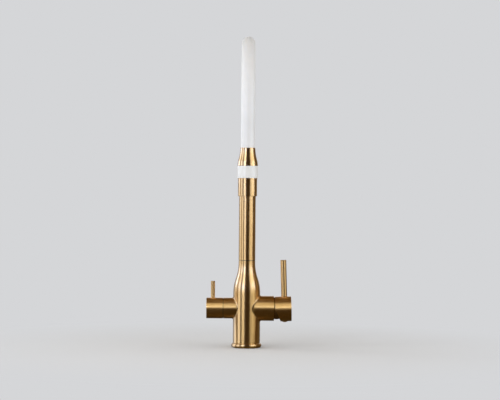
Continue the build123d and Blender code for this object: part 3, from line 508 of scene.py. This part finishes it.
def by_place(upright, sideways, target):
    """One vector on the body and another one on its branches."""
    choose = nodes.new("ShaderNodeMix")
    choose.data_type = "VECTOR"
    choose.inputs["A"].default_value = upright
    choose.inputs["B"].default_value = sideways
    links.new(on_branch.outputs["Result"], choose.inputs["Factor"])
    links.new(choose.outputs["Result"], target)


def painted_highlight_on_branches(shader, tones):
    """The same drift of colour, between two lighter tones on the branches, as a painted highlight.
    """
    own = shader.inputs["Base Color"].links[0].from_node
    light = nodes.new("ShaderNodeValToRGB")
    for there, here, shade in zip(light.color_ramp.elements, own.color_ramp.elements, tones):
        there.position = here.position
        there.color = (*shade, 1.0)
    choose = nodes.new("ShaderNodeMix")
    choose.data_type = "RGBA"
    links.new(own.inputs["Fac"].links[0].from_socket, light.inputs["Fac"])
    links.new(on_branch.outputs["Result"], choose.inputs["Factor"])
    links.new(own.outputs["Color"], choose.inputs["A"])
    links.new(light.outputs["Color"], choose.inputs["B"])
    links.new(choose.outputs["Result"], shader.inputs["Base Color"])


# the branches' lighter tones are the same painted highlight as the handles'
painted_highlight_on_branches(nodes["Principled BSDF"], handle_painted_highlight_tones)
by_place(axes["Z"], axes["X"], direction.inputs["Vector"])
by_place(across("Z"), across("X"), polish.inputs["Vector"].links[0].from_node.inputs["Scale"])
print("body radius", round(body_r * 1000, 2), "mm")

# %% [markdown]
# The hose is matt white silicone. A little light goes into silicone and comes out again
# beside where it went in, which softens its shading, so it gets some subsurface scattering.
# The dock ring is a moulded plastic, slightly glossier.


# %% White silicone and white plastic
silicone, shader = finish("white_silicone", 0.42)
shader.inputs["Subsurface Weight"].default_value = 0.20
shader.inputs["Subsurface Radius"].default_value = (1.0, 0.9, 0.8)
shader.inputs["Subsurface Scale"].default_value = 0.002
tone = grain(silicone, (35.0, 35.0, 35.0))
vary_colour(silicone, shader, tone, (0.83, 0.835, 0.845), (0.87, 0.875, 0.885))
skin = grain(silicone, (2600.0, 2600.0, 2600.0), detail=2.0)
vary_roughness(silicone, shader, skin, 0.38, 0.48)
relief(silicone, shader, skin, 0.00001, 0.25)

ring_plastic, shader = finish("white_ring_plastic", 0.32)
tone = grain(ring_plastic, (50.0, 50.0, 50.0))
vary_colour(ring_plastic, shader, tone, (0.84, 0.842, 0.83), (0.87, 0.872, 0.86))
mould = grain(ring_plastic, (1800.0, 1800.0, 1800.0), detail=2.0)
vary_roughness(ring_plastic, shader, mould, 0.28, 0.36)
relief(ring_plastic, shader, mould, 0.000008, 0.3)
print("silicone and ring plastic")

# %% [markdown]
# Inside are machined brass and steel, ceramic discs, rubber seals and several plastics. They
# hardly show, so one noise is enough to drive the colour, the roughness and the relief of
# each. The machined ones have their lines round Z, and the others have an even grain.


# %% Finishes of the inner pieces
def plain_finish(name, first, second, roughness, scale, metallic=0.0):
    """A finish whose colour, roughness and relief all follow one noise."""
    material, shader = finish(name, sum(roughness) / 2, metallic)
    noise = grain(material, scale)
    vary_colour(material, shader, noise, first, second)
    vary_roughness(material, shader, noise, *roughness)
    relief(material, shader, noise, inner_relief, 0.4)
    return material


inner_relief = 0.000006
even = (900.0, 900.0, 900.0)
brass_lines, steel_lines = (90.0, 90.0, 2500.0), (400.0, 400.0, 2500.0)
brass_pair = (0.66, 0.47, 0.20), (0.74, 0.54, 0.25)
steel_pair = (0.50, 0.50, 0.51), (0.58, 0.58, 0.59)
hose_pair = (0.26, 0.27, 0.28), (0.30, 0.31, 0.33)
tube_pair = (0.70, 0.73, 0.76), (0.76, 0.79, 0.82)
cartridge_pair = (0.58, 0.58, 0.55), (0.63, 0.63, 0.60)
ceramic_pair = (0.84, 0.83, 0.79), (0.88, 0.87, 0.83)
rubber_pair = (0.012, 0.012, 0.012), (0.022, 0.022, 0.022)
dark_pair = (0.020, 0.020, 0.022), (0.032, 0.032, 0.035)
finishes = {
    "satin_brass": brass_upright,
    "plain_brass": plain_finish("machined_brass", *brass_pair, (0.24, 0.38), brass_lines, 1.0),
    "steel": plain_finish("machined_steel", *steel_pair, (0.25, 0.36), steel_lines, 1.0),
    "white_silicone": silicone,
    "white_plastic": ring_plastic,
    "grey_hose": plain_finish("grey_inner_hose", *hose_pair, (0.45, 0.60), even),
    "clear_white_tube": plain_finish("white_inner_tube", *tube_pair, (0.30, 0.40), even),
    "cartridge_plastic": plain_finish("cartridge_plastic", *cartridge_pair, (0.38, 0.50), even),
    "ceramic": plain_finish("lapped_ceramic", *ceramic_pair, (0.10, 0.18), even),
    "black_rubber": plain_finish("seal_rubber", *rubber_pair, (0.50, 0.65), even),
    "dark_plastic": plain_finish("dark_plastic", *dark_pair, (0.40, 0.50), even),
}
print(sorted(finishes))

# %% [markdown]
# ## The CAD pieces
#
# The record says which material slot each piece belongs to. Each piece takes that slot's finish,
# apart from a few brass pieces. Some were turned on another axis than Z, and some carry painted
# light: lighter tones on the handles as a painted highlight, and darker tones on the dome as
# painted shade.

# %% Dress the CAD pieces
other_brass = {
    "tap_body": brass_body,
    # painted shade on the dome, in its darker tones
    "mixer_dome_cover": dull_brass,
    # the handles' paler tones are a painted highlight
    "mixer_cap": brass_sideways,
    "mixer_cap_plug": brass_sideways,
    "filter_cap": brass_sideways,
    "dock_arm": brass_forward,
}
for entry in frame["record"]["subparts"]:
    piece = frame["nodes"][entry["node"]]
    paint = other_brass.get(entry["node"], finishes[entry["material_slot"]])
    piece.data.materials.clear()
    piece.data.materials.append(paint)

# %% [markdown]
# ## The hoses
#
# Three hoses lie one inside the other: white silicone outside, the mixed water hose in it and the
# filtered water hose in that. They run up from the column, over a half circle and down into the
# spray head. A Geometry Nodes tree draws a circle along the path, and Solidify gives the tube its
# wall.


# %% A tree that sweeps a circle along a path
def new_tree(name, inputs):
    """An empty Geometry Nodes tree with named inputs after its geometry."""
    tree = bpy.data.node_groups.new(name, "GeometryNodeTree")
    tree.interface.new_socket("Geometry", in_out="INPUT", socket_type="NodeSocketGeometry")
    for label, kind in inputs:
        tree.interface.new_socket(label, in_out="INPUT", socket_type=kind)
    tree.interface.new_socket("Geometry", in_out="OUTPUT", socket_type="NodeSocketGeometry")
    return tree, tree.nodes.new("NodeGroupInput"), tree.nodes.new("NodeGroupOutput")


def end_tree(tree, start, end, geometry):
    """Realize Instances, smooth shading and Set Material, then the output."""
    real = tree.nodes.new("GeometryNodeRealizeInstances")
    smooth = tree.nodes.new("GeometryNodeSetShadeSmooth")
    paint = tree.nodes.new("GeometryNodeSetMaterial")
    tree.links.new(geometry, real.inputs["Geometry"])
    tree.links.new(real.outputs["Geometry"], smooth.inputs["Geometry"])
    tree.links.new(smooth.outputs["Geometry"], paint.inputs["Geometry"])
    tree.links.new(start.outputs["Material"], paint.inputs["Material"])
    tree.links.new(paint.outputs["Geometry"], end.inputs["Geometry"])


def grow(host, tree, **values):
    """Runs a tree on an object and returns the result as a plain mesh."""
    modifier = host.modifiers.new(tree.name, "NODES")
    modifier.node_group = tree
    for item in tree.interface.items_tree:
        key = item.name.lower().replace(" ", "_")
        if item.in_out == "INPUT" and key in values:
            modifier[item.identifier] = values[key]
    bpy.context.view_layer.update()
    result = host.evaluated_get(bpy.context.evaluated_depsgraph_get())
    mesh = bpy.data.meshes.new_from_object(result)
    host.modifiers.remove(modifier)
    return mesh


sweep, start, end = new_tree(
    "hose_sweep",
    [("Radius", "NodeSocketFloat"), ("Sides", "NodeSocketInt"), ("Material", "NodeSocketMaterial")],
)
section = sweep.nodes.new("GeometryNodeCurvePrimitiveCircle")
along = sweep.nodes.new("GeometryNodeCurveToMesh")
sweep.links.new(start.outputs["Sides"], section.inputs["Resolution"])
sweep.links.new(start.outputs["Radius"], section.inputs["Radius"])
sweep.links.new(start.outputs["Geometry"], along.inputs["Curve"])
sweep.links.new(section.outputs["Curve"], along.inputs["Profile Curve"])
end_tree(sweep, start, end, along.outputs["Mesh"])
print("hose sweep tree has", len(sweep.nodes), "nodes")

# %% Hoses over the arch
reach = 0.210
arch_radius = reach / 2
circle_pull = 0.5522847 * arch_radius  # the handle length that gives a quarter circle
straight_share = 0.2
points_per_run = 48


def hose(name, node, slot, wall, sides, head_end):
    """A hose in the place of a CAD node, whose box gives its radius, its arch and its start."""
    low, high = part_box(node)
    radius = (high[0] - low[0]) / 2
    arch_z = high[2] - radius - arch_radius
    path_data = bpy.data.curves.new(name + "_path", "CURVE")
    path_data.dimensions = "3D"
    path_data.resolution_u = points_per_run
    spline = path_data.splines.new("BEZIER")
    up = Vector((0, 0, circle_pull))
    out = Vector((0, -circle_pull, 0))
    short_up = up * straight_share
    stops = [
        ((0, 0, low[2]), short_up, short_up),
        ((0, 0, arch_z), short_up, up),
        ((0, -arch_radius, arch_z + arch_radius), out, out),
        ((0, -reach, arch_z), -up, -short_up),
        ((0, -reach, head_end), -short_up, -short_up),
    ]
    spline.bezier_points.add(len(stops) - 1)
    for point, (place, before, after) in zip(spline.bezier_points, stops):
        point.co = place
        point.handle_left = Vector(place) - before
        point.handle_right = Vector(place) + after
    path_object = bpy.data.objects.new(name + "_path", path_data)
    scene.collection.objects.link(path_object)
    mesh = grow(path_object, sweep, radius=radius, sides=sides, material=finishes[slot])
    bpy.data.objects.remove(path_object)
    shell = bpy.data.objects.new(name, mesh)
    scene.collection.objects.link(shell)
    thick = shell.modifiers.new("wall", "SOLIDIFY")
    thick.thickness = wall
    thick.offset = -1.0
    bpy.context.view_layer.update()
    result = shell.evaluated_get(bpy.context.evaluated_depsgraph_get())
    shell.data = bpy.data.meshes.new_from_object(result)
    shell.modifiers.clear()
    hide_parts(node)
    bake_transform(shell)
    print(name, "radius", round(radius * 1000, 2), "mm,", len(shell.data.polygons), "faces")
    return shell


cone_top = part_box("spray_cone")[1][2]
core_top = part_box("head_core")[1][2]
white_end, mixed_end, filtered_end = cone_top - 0.0137, cone_top - 0.0257, core_top - 0.0084
hose("white_hose", "silicone_hose", "white_silicone", 0.0025, 96, white_end)
hose("mixed_hose", "mixed_water_hose", "grey_hose", 0.0020, 48, mixed_end)
hose("filtered_tube", "filtered_hose", "clear_white_tube", 0.0010, 32, filtered_end)

# %% [markdown]
# ## The shank's thread
#
# Below the deck the shank has a fine thread for the nut that clamps the tap. A thread is one
# ridge that follows a helix, so the tree draws a small diamond along a spiral curve and joins
# it to a plain turned tube.


# %% A turned tube
def lathe(name, outline, sides):
    """A closed outline of (radius, height) points, turned round the Z axis."""
    count = len(outline)
    points = [
        (r * cos(2 * pi * i / sides), r * sin(2 * pi * i / sides), z)
        for i in range(sides)
        for r, z in outline
    ]
    faces = []
    for i in range(sides):
        here, there = i * count, (i + 1) % sides * count
        for j in range(count):
            k = (j + 1) % count
            faces.append((here + j, there + j, there + k, here + k))
    mesh = bpy.data.meshes.new(name)
    mesh.from_pydata(points, [], faces)
    return mesh


shank_low, shank_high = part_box("threaded_shank")
thread_r = shank_high[0]
thread_depth = 0.0009
thread_pitch = 0.0015
thread_end_z, shoulder_z = -0.0015, -0.0005
core_r = thread_r - thread_depth
engaged_r = thread_r - 0.0005
shank_bore_r = thread_r - 0.0025
shank_outline = [
    (shank_bore_r, shank_low[2]),
    (core_r, shank_low[2]),
    (core_r, thread_end_z),
    (thread_r, shoulder_z),
    (thread_r, 0.0),
    (engaged_r, 0.0),
    (engaged_r, shank_high[2]),
    (shank_bore_r, shank_high[2]),
]
shank = bpy.data.objects.new("shank_with_thread", lathe("shank", shank_outline, 96))
scene.collection.objects.link(shank)
print("shank radius", round(thread_r * 1000, 2), "mm")

# %% The thread
thread, start, end = new_tree(
    "fine_thread",
    [
        ("Radius", "NodeSocketFloat"),
        ("Depth", "NodeSocketFloat"),
        ("Turns", "NodeSocketFloat"),
        ("Height", "NodeSocketFloat"),
        ("Bottom", "NodeSocketVector"),
        ("Material", "NodeSocketMaterial"),
    ],
)
helix = thread.nodes.new("GeometryNodeCurveSpiral")
helix.inputs["Resolution"].default_value = 72
ridge = thread.nodes.new("GeometryNodeCurvePrimitiveCircle")
ridge.inputs["Resolution"].default_value = 4
along = thread.nodes.new("GeometryNodeCurveToMesh")
along.inputs["Fill Caps"].default_value = True
lower = thread.nodes.new("GeometryNodeTransform")
both = thread.nodes.new("GeometryNodeJoinGeometry")
for label in ("Start Radius", "End Radius"):
    thread.links.new(start.outputs["Radius"], helix.inputs[label])
thread.links.new(start.outputs["Turns"], helix.inputs["Rotations"])
thread.links.new(start.outputs["Height"], helix.inputs["Height"])
thread.links.new(start.outputs["Depth"], ridge.inputs["Radius"])
thread.links.new(helix.outputs["Curve"], along.inputs["Curve"])
thread.links.new(ridge.outputs["Curve"], along.inputs["Profile Curve"])
thread.links.new(along.outputs["Mesh"], lower.inputs["Geometry"])
thread.links.new(start.outputs["Bottom"], lower.inputs["Translation"])
thread.links.new(start.outputs["Geometry"], both.inputs["Geometry"])
thread.links.new(lower.outputs["Geometry"], both.inputs["Geometry"])
end_tree(thread, start, end, both.outputs["Geometry"])

thread_height = 0.0465
shank.data = grow(
    shank,
    thread,
    radius=core_r,
    depth=thread_depth,
    turns=thread_height / thread_pitch,
    height=thread_height,
    bottom=(0.0, 0.0, shank_low[2] + thread_pitch),
    material=finishes["plain_brass"],
)
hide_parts("threaded_shank")
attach(shank, "root")
print("thread has", round(thread_height / thread_pitch), "turns")

# %% [markdown]
# ## The spray nozzles
#
# The spray plate's small holes end in soft rubber nozzles, which are rubbed with a thumb to
# clear scale. They stand in two rings round the filtered water's outlet. One nozzle is turned
# as a small tapered ring, and a tree sets copies of it on the points of two circles.

# %% Soft nozzles
plate_low, plate_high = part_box("nozzle_plate")
head_y = (plate_low[1] + plate_high[1]) / 2
outer_count, outer_radius = 24, 0.0106
inner_count, inner_radius = 18, 0.0082
nozzle_outline = [
    (0.00060, 0.0002),
    (0.00060, -0.00055),
    (0.00080, -0.00065),
    (0.00100, -0.00050),
    (0.00120, 0.0002),
]
nozzles = bpy.data.objects.new("soft_spray_nozzles", lathe("soft_nozzle", nozzle_outline, 12))
scene.collection.objects.link(nozzles)

rings, start, end = new_tree(
    "nozzle_rings",
    [
        ("Outer Count", "NodeSocketInt"),
        ("Outer Radius", "NodeSocketFloat"),
        ("Inner Count", "NodeSocketInt"),
        ("Inner Radius", "NodeSocketFloat"),
        ("Centre", "NodeSocketVector"),
        ("Material", "NodeSocketMaterial"),
    ],
)
places = rings.nodes.new("GeometryNodeJoinGeometry")
for ring in ("Outer", "Inner"):
    circle = rings.nodes.new("GeometryNodeMeshCircle")
    rings.links.new(start.outputs[ring + " Count"], circle.inputs["Vertices"])
    rings.links.new(start.outputs[ring + " Radius"], circle.inputs["Radius"])
    rings.links.new(circle.outputs["Mesh"], places.inputs["Geometry"])
copies = rings.nodes.new("GeometryNodeInstanceOnPoints")
move = rings.nodes.new("GeometryNodeTransform")
rings.links.new(places.outputs["Geometry"], copies.inputs["Points"])
rings.links.new(start.outputs["Geometry"], copies.inputs["Instance"])
rings.links.new(copies.outputs["Instances"], move.inputs["Geometry"])
rings.links.new(start.outputs["Centre"], move.inputs["Translation"])
end_tree(rings, start, end, move.outputs["Geometry"])

nozzles.data = grow(
    nozzles,
    rings,
    outer_count=outer_count,
    outer_radius=outer_radius,
    inner_count=inner_count,
    inner_radius=inner_radius,
    centre=(0.0, head_y, plate_low[2]),
    material=finishes["grey_hose"],
)
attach(nozzles, "spray_head")
print(outer_count + inner_count, "soft nozzles")
